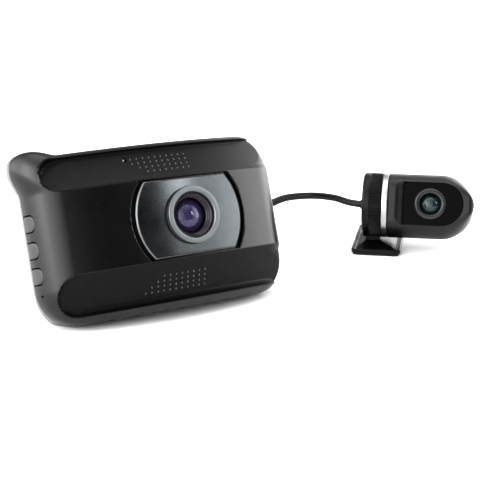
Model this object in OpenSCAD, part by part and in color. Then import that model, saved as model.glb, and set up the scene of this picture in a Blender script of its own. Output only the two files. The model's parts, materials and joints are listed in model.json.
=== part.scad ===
// Two-camera dash recorder: a barrel-fronted main unit that rests on its tapered base,
// and a separate rear-window camera joined to it by a coiled lead.
// Row frame: X along the main unit's width, the lens faces -Y, Z up, the floor at Z = 0,
// origin at the middle of the flat that the main unit rests on.

/* [Main unit] */
// Overall width of the main unit, flank to flank
unit_w = 110; // [108:1:112]
// Overall height of the main unit without its ear
unit_h = 66.5; // [66:0.5:68]
// Overall thickness of the main unit
unit_t = 33; // [32.5:0.5:34]
// Corner radius of the main unit seen from the front
corner_r = 15; // [14:0.5:16]
// Angle that the main unit leans back
lean = 18.3; // [17.5:0.1:19]
// Wall thickness of the two shells
wall = 2; // [1.8:0.1:2.2]

/* [Main camera] */
// Radius of the lens plate
plate_r = 24; // [23:0.5:24.5]
// Half height of the lens plate between its two straight edges
plate_half_h = 15.3; // [15:0.1:15.6]
// Outside radius of the raised collar round the lens
collar_r = 11.3; // [11:0.1:11.6]
// Radius of the opening in the collar
lens_open_r = 9; // [8.8:0.1:9.2]

/* [Rear camera] */
// Outside radius of the rear camera's head and clamp ring
head_r = 15.3; // [15:0.1:15.6]
// Length of the rear camera's head
head_l = 40; // [39.2:0.4:40.8]
// Height of the head's axis above the floor
head_z = 21; // [20.5:0.1:21.5]
// Yaw of the rear camera about the vertical
rear_yaw = -42; // [-44:1:-40]
// Angle that the head is turned up from level
head_tilt = 20; // [18:1:22]

/* [Lead] */
// Diameter of the lead between the two cameras
lead_d = 3.4; // [3.2:0.1:3.5]
// Number of turns across the coil
coil_columns = 6; // [6:1:6]

/* [Hidden] */
$fn = 64;

// Main unit, in its own frame: origin on the lens axis at the lens plate's surface,
// x to the right, y into the body, z up.
lens_off_x = 6.3;               // lens axis to the right of the unit's middle
lens_off_z = 2.25;              // and above it
left_x = -unit_w / 2 - lens_off_x;
right_x = unit_w / 2 - lens_off_x;
low_z = -unit_h / 2 - lens_off_z;
high_z = unit_h / 2 - lens_off_z;
barrel_r = 150;                 // plan radius of the front face
cheek_r = 16;                   // plan radius where the front turns into the flanks
cheek_in = unit_w / 2 - cheek_r;
barrel_turn = asin(cheek_in / (barrel_r - cheek_r));
cheek_y = barrel_r - (barrel_r - cheek_r) * cos(barrel_turn);
split_y = cheek_y;              // parting plane between the front cover and the rear housing
gap = 0.15;
back_r = 10.8;                  // plan radius where the flanks turn into the back
band_half = 16.2;               // half height of the band that carries the lens plate
slope_y = 9;                    // depth that the scoops fall back to
rim_y = 14;                     // where the top and bottom edges reach full height
rest_y1 = unit_t - 2;           // back edge of the flat that the unit rests on
rest_rise = (rest_y1 - split_y) * tan(lean);
ear = [left_x + 4.3, 27, 7.5];    // x, z and radius of the corner boss
rest_mid = [(split_y + rest_y1) / 2, low_z + rest_rise / 2];
unit_pos = [lens_off_x,
            -(rest_mid[0] * cos(lean) + rest_mid[1] * sin(lean)),
            rest_mid[0] * sin(lean) - rest_mid[1] * cos(lean)];

button_h = 6.2;
button_front_y = 15.3;
button_z = [5.9, -4.4, -14.4];
button_gap = 0.25;
grille_pitch = 2.6;
grille_row = 1.9;
hole_r = 0.5;
grille_right_x = 3.5;
led_hole = [grille_right_x - 10 * grille_pitch, 19.3 + 3 * grille_row];
speaker_pos = [-10, 13, -24.5];
socket_x = 33;                // video-in jack on the back, beside the screen
screen = [-12, -1, 76, 46];     // middle x, middle z, width and height of the window
insert_x = -6.3;
card_x = 22;
power_x = -40;
usb_x = -22;
top_mid_y = 27;

// Rear camera, in its own frame: origin on the floor under the clamp ring, x along the head.
rear_pos = [133, 28, 0];
foot_w = 23;
foot_front = -16.5;
foot_back = 34;
foot_h = 3;
pad_h = 0.8;
ring_x = [-7.3, 1.9, 4.8];          // clamp ring, silver ring and the head start
head_x = ring_x[2];
head_face_y = -12.2;
head_split_y = 1;
head_end_x = head_x + head_l;
recess = [10.6, 10.1, 2.4];       // left end, half height and depth of the window recess
rear_lens_x = 24.5;
gland_l = 1.6;
shaft_r = 6;                    // swivel shaft that the head turns on
flange_r = 8;
running = 0.05;                 // radial clearance of a running fit
rear_lens_r = 7.6;

// The lead: nearly six metres in all, most of it in the coil behind the main unit.
lead_r = lead_d / 2;
coil_pos = [16, 78];
coil_layers = 6;
coil_inner_r = 24 - coil_columns * lead_r;
coil_outer_r = 24 + coil_columns * lead_r;
coil_h = coil_layers * lead_d;
floor_gap = 0.1;
run_points = [
    [126.4, 34, 21], [122.3, 37.9, 21.7], [117.2, 42, 23.6], [109.6, 45.6, 24.9], [101, 47.2, 25.5],
    [92, 47.8, 25.4], [84, 47.6, 23.6], [77.5, 47, 19.8], [72.5, 46.2, 14.5], [67.5, 45.5, 8.5],
    [61.5, 44.9, 4.2], [54, 44.6, 2.2], [45, 44.7, 1.8], [37, 45, 1.8], [29, 45.2, 1.8]
];
tail_points = [
    [46.6, 62.6, 19], [44.6, 56.4, 19.5], [42, 50.3, 20.4], [40, 43.6, 21.7], [39.3, 37.2, 23.5]
];

// ---- placing ----

module in_unit() translate(unit_pos) rotate([-lean, 0, 0]) children();
module in_rear() translate(rear_pos) rotate([0, 0, rear_yaw]) children();
module in_head() in_rear() translate([0, 0, head_z]) rotate([-head_tilt, 0, 0])
    translate([0, 0, -head_z]) children();

// Extrude a front-view outline (x, z) into the body, from y0 to y1.
module into_body(y0, y1) translate([0, y1, 0]) rotate([90, 0, 0]) linear_extrude(y1 - y0) children();
// Extrude a side-view outline (y, z) across the body, from x0 to x1.
module across(x0, x1) translate([x0, 0, 0]) rotate([90, 0, 90]) linear_extrude(x1 - x0) children();
// A round bar along y, from y0 to y1.
module rod_y(r, y0, y1) translate([0, y1, 0]) rotate([90, 0, 0]) cylinder(r = r, h = y1 - y0);
// A round bar along x, from x0 to x1.
module rod_x(r, x0, x1) translate([x0, 0, 0]) rotate([0, 90, 0]) cylinder(r = r, h = x1 - x0);
// A box between two corners.
module span(lo, hi) translate(lo) cube(hi - lo);

// ---- main unit outlines ----

module rounded(x0, z0, x1, z1, r) {
    translate([x0 + r, z0]) square([x1 - x0 - 2 * r, z1 - z0]);
    translate([x0, z0 + r]) square([x1 - x0, z1 - z0 - 2 * r]);
    for (x = [x0 + r, x1 - r], z = [z0 + r, z1 - r]) translate([x, z]) circle(r);
}

// Front view, drawn in by inset, with the corner boss blended in.
module front_outline(inset) {
    rounded(left_x + inset, low_z + inset, right_x - inset, high_z - inset, corner_r - inset);
    translate([ear[0], ear[1]]) circle(ear[2] - inset);
    difference() {
        polygon([[ear[0] - 6.5 + inset, 24], [left_x + inset, 14], [left_x + 16, 14],
                 [left_x + 17, high_z - inset], [ear[0] + 5, high_z + 1.5 - inset]]);
        translate([left_x - 12 + inset, 13]) circle(12);
        translate([left_x + 18.4, high_z + 12 - inset]) circle(12);
    }
}

// Plan view of everything behind the barrel front, drawn in by inset.
module plan_outline(inset) intersection() {
    translate([-lens_off_x, barrel_r]) circle(barrel_r - inset, $fn = 180);
    union() {
        for (x = [left_x + cheek_r, right_x - cheek_r])
            translate([x, cheek_y]) circle(cheek_r - inset);
        translate([left_x + cheek_r, inset]) square([unit_w - 2 * cheek_r, unit_t + 20]);
        translate([left_x + inset, cheek_y]) square([unit_w - 2 * inset, unit_t]);
    }
}

// Side view of the front cover, drawn in by inset: flat band, two slopes, full height at the rim.
module cover_side(inset) polygon([
    [inset, -band_half], [slope_y + inset, low_z + 2.4], [rim_y + inset, low_z],
    [split_y + 1, low_z], [split_y + 1, high_z + 9], [rim_y + inset, high_z + 9],
    [rim_y + inset, high_z], [slope_y + inset, high_z - 1.6], [inset, band_half]
]);

// The solid that the front cover is hollowed from.
module cover_block(inset, back) intersection() {
    into_body(-1, back) front_outline(inset);
    translate([0, 0, low_z - 10]) linear_extrude(unit_h + 30) plan_outline(inset);
    across(left_x - 10, right_x + 10) cover_side(inset);
}

// Front view of a scoop above (side = 1) or below (side = -1) the band, open to the right.
module scoop_outline(side, grow) {
    if (side > 0) rounded(left_x + 4.3 - grow, band_half - grow, right_x + 20, high_z - 1.4 + grow, 6.2);
    else rounded(left_x + 4.3 - grow, low_z + 3 - grow, right_x + 20, -band_half + grow, 7.6);
}

// The space in front of the slopes, sunk below them.
module slope_front(sink) across(left_x - 5, right_x + 25) {
    polygon([[-20, band_half], [sink, band_half], [slope_y + sink, high_z - 1.6],
             [slope_y + sink, high_z - 1], [-20, high_z - 1]]);
    polygon([[-20, -band_half], [sink, -band_half], [slope_y + sink, low_z + 2.4],
             [slope_y + sink, low_z + 2], [-20, low_z + 2]]);
}

// Centres of one speaker grille's holes: four rows, the longest at the outside, flush at the right.
function grille_holes(side) = [
    for (row = [0 : 3], column = [0 : 7 + row])
        [grille_right_x - column * grille_pitch, side * (19.3 + row * grille_row) - (side > 0 ? 0 : 2.5)]
];

// The raised half-round-nosed outline of a side button (y, z).
module button_outline(grow) {
    half = button_h / 2 + grow;
    translate([button_front_y - grow + 2.4, -half]) square([10, 2 * half]);
    translate([button_front_y - grow, -half + 2.4]) square([10, 2 * half - 4.8]);
    for (z = [-half + 2.4, half - 2.4]) translate([button_front_y - grow + 2.4, z]) circle(2.4);
}

module button_prism(grow, back) intersection() {
    translate([left_x - 1, 0, 0]) rotate([90, 0, 90]) linear_extrude(8) button_outline(grow);
    span([left_x - 2, 0, -10], [left_x + 10, back, 10]);
}

boss_in = 8;
boss_places = [for (x = [left_x + boss_in, right_x - boss_in], z = [low_z + boss_in, high_z - boss_in])
    [x, z]];

// ---- main unit parts ----

module front_cover() color([0.13, 0.13, 0.14]) in_unit() difference() {
    union() {
        difference() {
            cover_block(0, split_y);
            cover_block(wall, split_y + 1);
        }
        intersection() {
            rod_y(plate_r + 3.6, -1, 8);
            cover_block(0.5, split_y);
            translate([0, 0, -band_half]) linear_extrude(2 * band_half) difference() {
                plan_outline(wall - 0.5);
                plan_outline(wall + 1.6);
            }
        }
        intersection() {
            union() for (p = boss_places) translate([p[0], 0, p[1]]) rod_y(2.8, 4, split_y - gap);
            cover_block(0.5, split_y);
        }
    }
    // scoops
    for (side = [1, -1]) intersection() {
        into_body(-5, 16) scoop_outline(side, 0);
        slope_front(0.8);
    }
    // recess that the lens plate sits in
    intersection() {
        rod_y(plate_r + 1.7, -3, 8);
        translate([0, 0, -plate_half_h - 0.4]) linear_extrude(2 * plate_half_h + 0.8) difference() {
            translate([-40, -5]) square([80, 15]);
            plan_outline(2.1);
        }
    }
    rod_y(collar_r + 0.3, -5, 12);
    for (side = [1, -1], p = grille_holes(side))
        if (!(side > 0 && p == led_hole)) translate([p[0], 0, p[1]]) rod_y(hole_r, -1, 14);
    translate([led_hole[0], 0, led_hole[1]]) rod_y(0.9, -1, 14);
    for (z = button_z) translate([0, 0, z]) button_prism(button_gap, split_y + 1);
    translate([0, 17.1, -22.1]) rod_x(0.5, left_x - 2, left_x + 4);
    for (p = boss_places) translate([p[0], 0, p[1]]) rod_y(0.8, 12, split_y + 1);
}

// Side view of the rear housing: flat underside to rest on, bevelled back edges.
module housing_side(inset) polygon([
    [split_y - 2, low_z + inset], [split_y, low_z + inset], [rest_y1, low_z + rest_rise + inset],
    [unit_t - inset, low_z + rest_rise + 2.5 + inset], [unit_t - inset, high_z - 3.5 - inset],
    [unit_t - 3.5 - inset, high_z + 9 - inset], [split_y - 2, high_z + 9 - inset]
]);

module housing_block(inset, front) intersection() {
    into_body(front, unit_t + 1) front_outline(inset);
    across(left_x - 10, right_x + 10) housing_side(inset);
    translate([0, 0, low_z - 5]) linear_extrude(unit_h + 30) {
        translate([left_x - 8, 0]) square([unit_w + 20, unit_t - back_r]);
        translate([left_x + back_r, 0]) square([unit_w - 2 * back_r, unit_t]);
        for (x = [left_x + back_r, right_x - back_r])
            translate([x, unit_t - back_r]) circle(back_r - inset);
    }
}

module rear_housing() color([0.76, 0.77, 0.78]) in_unit() difference() {
    union() {
        difference() {
            housing_block(0, split_y + gap);
            housing_block(wall, split_y - 1);
        }
        intersection() {
            union() for (p = boss_places) translate([p[0], 0, p[1]]) rod_y(2.8, split_y + gap, unit_t - 0.5);
            housing_block(0.5, split_y + gap);
        }
        translate([insert_x, top_mid_y - 0.2, 21]) cylinder(r = 5, h = high_z - 22);
    }
    // window for the screen: a ledge and the opening behind it
    span([screen[0] - screen[2] / 2, unit_t - 1.2, screen[1] - screen[3] / 2],
         [screen[0] + screen[2] / 2, unit_t + 1, screen[1] + screen[3] / 2]);
    span([screen[0] - 32, unit_t - 5, screen[1] - 18.5], [screen[0] + 32, unit_t + 1, screen[1] + 18.5]);
    translate([socket_x, 0, 0]) rod_y(3.6, unit_t - 4, unit_t + 1);
    translate([insert_x, top_mid_y - 0.2, 20]) cylinder(r = 3.5, h = 14);
    translate([power_x, top_mid_y, 24]) cylinder(r = 2.7, h = 10);
    span([card_x - 5.8, 23.2, 25], [card_x + 5.8, 24.8, 34]);
    span([usb_x - 4.1, 22.6, 24], [usb_x + 4.1, 26.8, 34]);
    for (p = boss_places) translate([p[0], 0, p[1]]) {
        rod_y(1.1, split_y - 1, unit_t + 1);
        rod_y(2.0, unit_t - 1.6, unit_t + 1);
    }
}

module screen_window() color([0.03, 0.03, 0.035]) in_unit()
    span([screen[0] - screen[2] / 2 + 0.1, unit_t - 1.15, screen[1] - screen[3] / 2 + 0.1],
         [screen[0] + screen[2] / 2 - 0.1, unit_t - 0.1, screen[1] + screen[3] / 2 - 0.1]);

module lcd_panel() color([0.2, 0.25, 0.35]) in_unit()
    span([screen[0] - 31.5, 27.2, screen[1] - 18], [screen[0] + 31.5, 30.2, screen[1] + 18]);

// The part of a disc between the plate's straight edges, its faces bent like the barrel front.
module bent_disc(r, half, front, back) intersection() {
    rod_y(r, -3, 10);
    translate([0, 0, -half]) linear_extrude(2 * half) difference() {
        plan_outline(front);
        plan_outline(back);
    }
}

module lens_plate() color([0.42, 0.45, 0.47]) in_unit() difference() {
    bent_disc(plate_r - 0.55, plate_half_h - 0.55, 0, 1.9);
    rod_y(collar_r + 0.15, -5, 12);
}

module plate_rim() color([0.85, 0.86, 0.87]) in_unit() difference() {
    bent_disc(plate_r, plate_half_h, 0.35, 1.9);
    translate([0, -0.01, 0]) intersection() {
        rod_y(plate_r - 0.5, -5, 12);
        span([-30, -5, -plate_half_h + 0.5], [30, 12, plate_half_h - 0.5]);
    }
}

module lens_collar() color([0.4, 0.42, 0.44]) in_unit() difference() {
    union() {
        rod_y(collar_r, -2.2, 5.2);
        rod_y(collar_r + 2, 5.0, 5.95);
    }
    rod_y(lens_open_r, -5, 12);
}

module lens_barrel() color([0.05, 0.05, 0.06]) in_unit() difference() {
    rod_y(lens_open_r - 0.15, -0.8, 15);
    rod_y(6.9, -3, 4.4);
    rod_y(5.3, 4, 12.4);
    rod_y(3, 12, 16);
}

// A lens: a disc whose front bulges as part of a sphere.
module lens(r, y0, y1, sphere_r) intersection() {
    rod_y(r, y0, y1);
    translate([0, y0 + sphere_r, 0]) sphere(r = sphere_r);
}

module front_lens() color([0.3, 0.25, 0.5]) in_unit() lens(6.85, 0, 4.3, 9);
module second_lens() color([0.25, 0.3, 0.45]) in_unit() lens(5.25, 5.2, 9, 12);

module lens_holder() color([0.08, 0.08, 0.09]) in_unit() difference() {
    union() {
        rod_y(10.8, 6, 17);
        span([-12, 14, -11], [12, 17, 11]);
    }
    rod_y(lens_open_r - 0.1, 5, 15.2);
    rod_y(5.4, 15, 18);
}

module sensor_board() color([0.1, 0.35, 0.2]) in_unit() {
    span([-12, 17.1, -11], [12, 18.3, 11]);
    span([-4, 16, -3.2], [4, 17.15, 3.2]);
}

module main_board() color([0.08, 0.32, 0.18]) in_unit() {
    span([-46, 19, -30], [34, 20.5, 20]);
    span([-36, 20.4, -28], [-22, 21.4, -18]);
    span([10, 17.6, -25], [24, 19.1, -11.5]);
    span([22, 17.4, 2], [30, 19.1, 12]);
    // tab with the power switch
    span([power_x - 3, 19, 19], [power_x + 3, 20.5, 27.6]);
    span([power_x - 2, 20.4, 25], [power_x + 2, 28.5, 27.6]);
}

module battery() color([0.75, 0.76, 0.78]) in_unit() span([-46, 21.8, -16], [-2, 26.4, 18]);

module speaker() color([0.1, 0.1, 0.1]) in_unit() translate([speaker_pos[0], 0, speaker_pos[2]]) {
    rod_y(6.4, speaker_pos[1], speaker_pos[1] + 3);
    rod_y(4, speaker_pos[1] + 2.9, speaker_pos[1] + 4.6);
}

module microphone() color([0.7, 0.7, 0.65]) in_unit() translate([-2, 0, 22]) rod_y(2, 11.5, 14);

// A strip of fine mesh stuck behind a grille.
module mesh_strip(z0, z1) intersection() {
    across(-25.5, 6) difference() {
        cover_side(wall + 0.1);
        cover_side(wall + 0.5);
    }
    span([-30, 0, z0], [10, 20, z1]);
}
module grille_mesh_upper() color([0.05, 0.05, 0.05]) in_unit() difference() {
    mesh_strip(18, 26.6);
    translate([led_hole[0], 0, led_hole[1]]) rod_y(1.2, -1, 20);
}
module grille_mesh_lower() color([0.05, 0.05, 0.05]) in_unit() mesh_strip(-29.4, -20.4);

module status_led() color([0.75, 0.7, 0.95]) in_unit()
    translate([led_hole[0], 0, led_hole[1]]) rod_y(0.8, 7, 14);

module button_board() color([0.08, 0.32, 0.18]) in_unit() {
    span([left_x + 6.2, 13.4, -19], [left_x + 7.2, 20.6, 11]);
    for (z = button_z) span([left_x + 4.9, 17, z - 1.6], [left_x + 6.3, 20.2, z + 1.6]);
}

module side_button(z) intersection() {
    translate([0, 0, z]) button_prism(0, split_y - gap);
    translate([0, 0, z - 5]) linear_extrude(10) difference() {
        plan_outline(0);
        plan_outline(2.4);
    }
}
module side_button_upper() color([0.4, 0.4, 0.41]) in_unit() side_button(button_z[0]);
module side_button_middle() color([0.4, 0.4, 0.41]) in_unit() side_button(button_z[1]);
module side_button_lower() color([0.4, 0.4, 0.41]) in_unit() side_button(button_z[2]);

module power_button() color([0.7, 0.71, 0.72]) in_unit() translate([power_x, top_mid_y, high_z - 2.6])
    cylinder(r = 2.5, h = 3);

module card_socket() color([0.8, 0.8, 0.78]) in_unit() difference() {
    span([card_x - 6.6, 20.7, 12], [card_x + 6.6, 25.6, 27.6]);
    span([card_x - 5.7, 23.3, 14], [card_x + 5.7, 24.7, 30]);
}
module memory_card() color([0.1, 0.1, 0.11]) in_unit()
    span([card_x - 5.5, 23.5, 16.4], [card_x + 5.5, 24.5, high_z + 0.5]);

module usb_socket() color([0.8, 0.8, 0.8]) in_unit() difference() {
    span([usb_x - 3.9, 22.8, 21.6], [usb_x + 3.9, 26.6, high_z - 0.2]);
    span([usb_x - 3.4, 23.3, 23.6], [usb_x + 3.4, 26.1, high_z + 1]);
}

module video_socket() color([0.06, 0.06, 0.06]) in_unit() translate([socket_x, 0, 0]) difference() {
    union() {
        rod_y(3.4, 20.8, unit_t - 0.1);
        span([-4, 20.7, -4], [4, 30.4, 4]);
    }
    rod_y(1.32, 21.8, unit_t + 1);
}

module mount_insert() color([0.8, 0.68, 0.4]) in_unit() translate([insert_x, top_mid_y - 0.2, 0])
difference() {
    translate([0, 0, 21.4]) cylinder(r = 3.45, h = high_z - 21.4);
    translate([0, 0, 23]) cylinder(r = 2.6, h = 12);
}

module housing_screws() color([0.3, 0.3, 0.32]) in_unit()
    for (p = boss_places) translate([p[0], 0, p[1]]) difference() {
        union() {
            rod_y(1.8, unit_t - 1.6, unit_t - 0.3);
            rod_y(0.75, 14, unit_t - 1.5);
        }
        rod_y(0.6, unit_t - 0.9, unit_t, $fn = 6);
    }

// ---- rear camera parts ----

module plate(x0, y0, x1, y1, r, z0, z1) translate([0, 0, z0]) linear_extrude(z1 - z0)
    rounded(x0, y0, x1, y1, r);

module rear_foot() color([0.1, 0.1, 0.1]) in_rear() difference() {
    union() {
        plate(-foot_w / 2, foot_front, foot_w / 2, foot_back, 2, pad_h, foot_h);
        // shallow roof that climbs from the foot's margin to the neck
        intersection() {
            plate(-foot_w / 2 + 2, foot_front + 3, foot_w / 2 - 2, foot_back - 3, 1.5, foot_h - 0.5, 12);
            across(-foot_w, foot_w)
                polygon([[foot_front + 3, foot_h - 0.5], [foot_front + 3, foot_h + 0.6], [-5, foot_h + 2.2],
                         [9, foot_h + 2.2], [foot_back - 3, foot_h + 0.6], [foot_back - 3, foot_h - 0.5]]);
        }
        span([ring_x[0] + 1.5, -6, foot_h], [ring_x[1] - 0.6, 8, head_z - 8]);
        translate([0, 0, head_z]) rod_x(9.4, ring_x[0] + 1.5, ring_x[1] - 0.6);
    }
    translate([0, 0, head_z]) rod_x(shaft_r + running, ring_x[0] - 5, ring_x[1] + 5);
}

module adhesive_pad() color([0.25, 0.25, 0.26]) in_rear()
    plate(-foot_w / 2 + 0.8, foot_front + 0.8, foot_w / 2 - 0.8, foot_back - 0.8, 1.5, 0, pad_h - 0.02);

// The black grip ring: a plain cap at its outer end and a ribbed grip next to the silver ring.
module clamp_ring() color([0.07, 0.07, 0.07]) in_rear() translate([0, 0, head_z]) difference() {
    union() {
        rod_x(head_r, ring_x[0], ring_x[0] + 3.6);
        rod_x(head_r - 0.5, ring_x[0] + 3.5, ring_x[1] - 0.2);
        for (turn = [0 : 6 : 354]) rotate([turn, 0, 0])
            span([ring_x[0] + 3.5, -0.4, head_r - 1], [ring_x[1] - 0.2, 0.4, head_r]);
    }
    rod_x(9.7, ring_x[0] + 1.2, ring_x[1] + 1);
    rod_x(shaft_r + running, ring_x[0] - 1, ring_x[1] + 1);
    // slot that lets the neck through to the foot
    span([ring_x[0] + 1.2, -6.3, -head_r - 2], [ring_x[1] + 1, 8.3, 0]);
}

module silver_ring() color([0.85, 0.86, 0.87]) in_rear() translate([0, 0, head_z]) difference() {
    rod_x(head_r, ring_x[1] + 0.05, ring_x[2] - 0.25);
    rod_x(shaft_r + running, ring_x[1] - 1, ring_x[2] + 1);
}

module swivel_shaft() color([0.2, 0.2, 0.21]) in_rear() translate([0, 0, head_z]) difference() {
    union() {
        rod_x(shaft_r, ring_x[0] + 0.2, head_x + 3.4);
        rod_x(flange_r, head_x + 2, head_x + 3.4);
    }
    rod_x(2.85, ring_x[0] - 1, ring_x[0] + 3.2);
    rod_x(lead_r + 0.1, ring_x[0] - 3, head_x + 5);
}

// The head: a round bar along x with a half-round end, cut flat at the face.
module head_block(inset) intersection() {
    translate([0, 0, head_z]) rod_x(head_r - inset, head_x + inset, head_end_x + 2);
    into_body(-20, 20) {
        translate([head_x, head_z - head_r - 1]) square([head_l - head_r, 2 * head_r + 2]);
        translate([head_end_x - head_r, head_z]) circle(head_r - inset);
    }
    span([0, head_face_y + inset, 0], [60, 30, 60]);
}

module recess_outline(grow) {
    half = recess[1] + grow;
    end = head_end_x - head_r;
    translate([end, head_z]) circle(half);
    translate([recess[0] - grow + 2, head_z - half]) square([end - recess[0] + grow - 2, 2 * half]);
    translate([recess[0] - grow, head_z - half + 2]) square([5, 2 * half - 4]);
    for (z = [head_z - half + 2, head_z + half - 2]) translate([recess[0] - grow + 2, z]) circle(2);
}

head_screw_places = [
    [head_x + 5, 8.5], [head_x + 5, -8.5], [head_end_x - 8.6, 7.6], [head_end_x - 8.6, -7.6],
];

module head_front() color([0.16, 0.16, 0.17]) in_head() difference() {
    intersection() {
        head_block(0);
        span([0, -20, 0], [60, head_split_y - 0.05, 60]);
    }
    difference() {
        head_block(1.8);
        span([0, -20, 0], [60, head_face_y + recess[2] + 2.4, 60]);
    }
    into_body(-20, head_face_y + recess[2]) recess_outline(0);
    into_body(-20, 0) recess_outline(-2);
    translate([0, 0, head_z]) rod_x(shaft_r + running, 0, head_x + 4);
    translate([0, 0, head_z]) rod_x(flange_r + running, head_x + 1.8, head_x + 3.5);
}

module head_back() color([0.12, 0.12, 0.13]) in_head() difference() {
    union() {
        difference() {
            intersection() {
                head_block(0);
                span([0, head_split_y + 0.05, 0], [60, 20, 60]);
            }
            head_block(1.8);
        }
        intersection() {
            for (p = head_screw_places) translate([p[0], 0, head_z + p[1]]) rod_y(2.2, head_split_y + 0.05, 14);
            head_block(1);
        }
    }
    translate([0, 0, head_z]) rod_x(shaft_r + running, 0, head_x + 4);
    translate([0, 0, head_z]) rod_x(flange_r + running, head_x + 1.8, head_x + 3.5);
    for (p = head_screw_places) translate([p[0], 0, head_z + p[1]]) {
        rod_y(0.9, -1, 20);
        rod_y(1.6, 5.6, 20);
    }
}

module rear_window() color([0.02, 0.02, 0.03]) in_head() difference() {
    into_body(head_face_y + recess[2] - 1, head_face_y + recess[2]) recess_outline(-0.1);
    translate([rear_lens_x, 0, head_z]) rod_y(rear_lens_r - 1.4, -20, 0);
}

module rear_lens_ring() color([0.3, 0.31, 0.32]) in_head() translate([rear_lens_x, 0, head_z]) difference() {
    rod_y(rear_lens_r, head_face_y - 0.2, head_face_y + recess[2] - 1.02);
    rod_y(rear_lens_r - 1.4, -20, 0);
}

module rear_lens_barrel() color([0.05, 0.05, 0.05]) in_head() translate([rear_lens_x, 0, head_z]) difference() {
    rod_y(rear_lens_r - 1.5, head_face_y, -1.2);
    rod_y(5, -20, head_face_y + 4);
    rod_y(3, -20, 0);
}

module rear_lens_glass() color([0.1, 0.2, 0.22]) in_head() translate([rear_lens_x, head_face_y + 0.4, head_z])
    lens(4.95, 0, 3.5, 6);

module rear_sensor_board() color([0.1, 0.35, 0.2]) in_head()
    span([rear_lens_x - 9, -1, head_z - 9], [rear_lens_x + 8, 0.2, head_z + 9]);

module head_screws() color([0.3, 0.3, 0.32]) in_head()
    for (p = head_screw_places) translate([p[0], 0, head_z + p[1]]) {
        rod_y(1.5, 5.7, 7);
        rod_y(0.8, 1.5, 5.8);
    }

// ---- the lead ----

module lead_gland() color([0.06, 0.06, 0.06]) in_rear() translate([ring_x[0] - gland_l, 0, head_z])
    difference() {
        union() {
            rotate([0, 90, 0]) cylinder(r1 = lead_r + 0.3, r2 = 2.8, h = gland_l);
            rod_x(2.8, gland_l - 0.05, gland_l + 3);
        }
        rod_x(lead_r + 0.03, -1, gland_l + 4);
    }

function unit_vector(v) = v / norm(v);
// Where a rounded path through the points is at step t, a whole number being a point.
function path_at(p, t) = let (
        i = min(floor(t), len(p) - 2), s = t - i,
        a = p[max(i - 1, 0)], b = p[i], c = p[i + 1], d = p[min(i + 2, len(p) - 1)]
    ) 0.5 * (2 * b + (c - a) * s + (2 * a - 5 * b + 4 * c - d) * s * s + (3 * b - a - 3 * c + d) * s * s * s);

// A tube of eight sides swept along the rounded path through the points.
module tube(points, r) {
    sides = 8;
    last = 2 * (len(points) - 1);
    centres = [for (i = [0 : last]) path_at(points, i / 2)];
    ring_points = [
        for (i = [0 : last]) let (
            along = unit_vector(centres[min(i + 1, last)] - centres[max(i - 1, 0)]),
            side = unit_vector(cross(along, [0.05, 0.1, 1])),
            up = cross(side, along)
        ) for (k = [0 : sides - 1])
            centres[i] + r * (side * cos((k + 0.5) * 360 / sides) + up * sin((k + 0.5) * 360 / sides))
    ];
    walls = [
        for (i = [0 : last - 1], k = [0 : sides - 1]) let (n = (k + 1) % sides)
            [i * sides + k, i * sides + n, (i + 1) * sides + n, (i + 1) * sides + k]
    ];
    polyhedron(ring_points, concat([[for (k = [sides - 1 : -1 : 0]) k]], walls,
                                   [[for (k = [0 : sides - 1]) last * sides + k]]), convexity = 6);
}

module lead_run() color([0.03, 0.03, 0.03]) tube(run_points, lead_r);
module lead_tail() color([0.03, 0.03, 0.03]) tube(tail_points, lead_r);

module lead_coil() color([0.03, 0.03, 0.03]) translate([coil_pos[0], coil_pos[1], floor_gap])
    rotate_extrude($fn = 96) translate([coil_inner_r, 0])
        square([coil_outer_r - coil_inner_r, coil_h]);

// A strap round the coil's section, on its far side.
module coil_tie() color([0.1, 0.1, 0.1]) translate([coil_pos[0] - 3, coil_pos[1], 0]) difference() {
    span([0, coil_inner_r - 1.4, 0], [6, coil_outer_r + 1.4, coil_h + 1.4]);
    span([-1, coil_inner_r - 0.4, floor_gap], [7, coil_outer_r + 0.4, coil_h + floor_gap + 0.2]);
}

// The plug that sits in the video socket; its axis is the socket's.
module plug_frame() in_unit() translate([socket_x, unit_t, 0]) children();
module plug_pin() color([0.85, 0.75, 0.45]) plug_frame() {
    rod_y(1.25, -10.8, 0.32);
    rod_y(0.9, -11.1, -10.7);
}
module lead_plug() color([0.06, 0.06, 0.06]) plug_frame() {
    rod_y(4, 0.3, 13.3);
    rod_y(3.4, 13.2, 14.3);
}
module lead_strain_relief() color([0.05, 0.05, 0.05]) plug_frame() translate([0, 21.3, 0])
    rotate([90, 0, 0]) cylinder(r1 = lead_r + 0.3, r2 = 3, h = 7);

front_cover();
rear_housing();
screen_window();
lcd_panel();
lens_plate();
plate_rim();
lens_collar();
lens_barrel();
front_lens();
second_lens();
lens_holder();
sensor_board();
main_board();
battery();
speaker();
microphone();
grille_mesh_upper();
grille_mesh_lower();
status_led();
button_board();
side_button_upper();
side_button_middle();
side_button_lower();
power_button();
card_socket();
memory_card();
usb_socket();
video_socket();
mount_insert();
housing_screws();
rear_foot();
adhesive_pad();
clamp_ring();
silver_ring();
swivel_shaft();
head_front();
head_back();
rear_window();
rear_lens_ring();
rear_lens_barrel();
rear_lens_glass();
rear_sensor_board();
head_screws();
lead_gland();
lead_run();
lead_coil();
coil_tie();
lead_tail();
lead_strain_relief();
lead_plug();
plug_pin();
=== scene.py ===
"""Looks of the two-camera dash recorder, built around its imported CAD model.

Sizes are in millimetres in each unit's own frame, as the CAD has them, and are turned into
metres in the row frame when a mesh is made. The main unit's frame has its origin on the lens
axis at the lens plate's surface, x to the right, y into the body, z up. The rear camera's has
its origin on the floor under the clamp ring, x along the head.
"""
import json
import math

import bmesh
import bpy
import numpy as np
from mathutils import Matrix, Vector


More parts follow.
